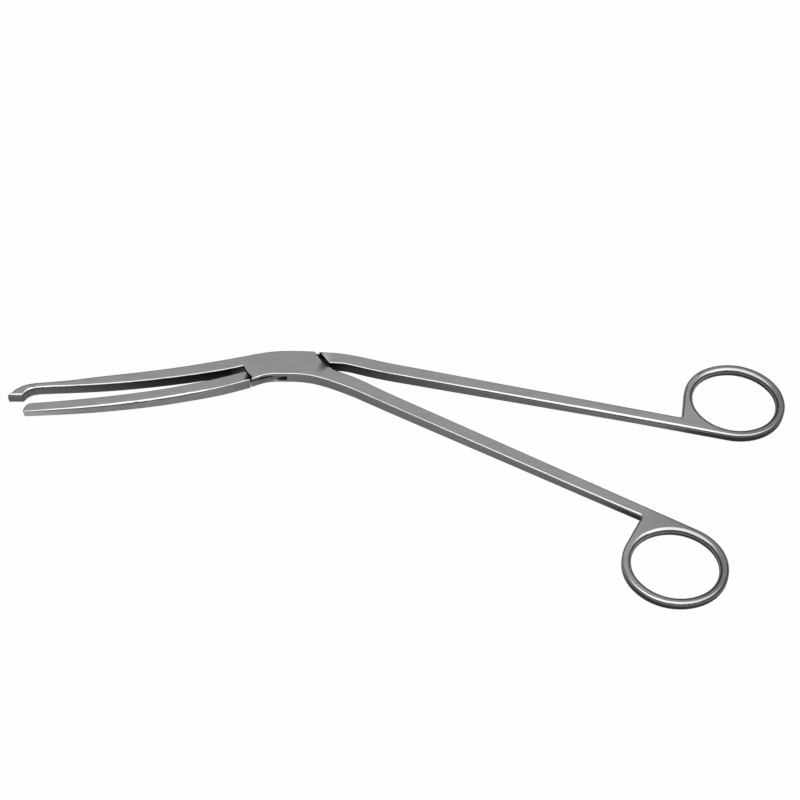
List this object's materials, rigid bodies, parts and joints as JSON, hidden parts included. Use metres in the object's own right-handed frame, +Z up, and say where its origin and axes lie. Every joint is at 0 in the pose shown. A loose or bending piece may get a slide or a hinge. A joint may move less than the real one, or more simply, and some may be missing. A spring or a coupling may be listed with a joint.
{
  "type": "cheatle forceps",
  "caption": "Long sterilising forceps: two curved jaws, one ending in a hook, crossing in a flush box lock, with two finger rings.",
  "frame": {"origin": "on the pivot axis, in the plane that the forceps rest on", "axes": "+X from the jaws towards the finger rings, +Y towards the outer side of the jaws' bend, +Z up along the pivot pin"},
  "size_m": [0.2682, 0.1042, 0.0048],
  "materials": {
    "box_half_steel": "satin",
    "through_half_steel": "satin",
    "pin_steel": "satin"
  },
  "bodies": {
    "box_side": {"box_half": "box_half_steel", "pivot_pin": "pin_steel"},
    "through_side": {"through_half": "through_half_steel"}
  },
  "joints": [
    {"name": "pivot", "type": "hinge", "parent": "box_side", "child": "through_side", "pos_m": [0, 0, 0.0024], "axis": [0, 0, 1], "range_deg": [-2.8, 22]}
  ]
}
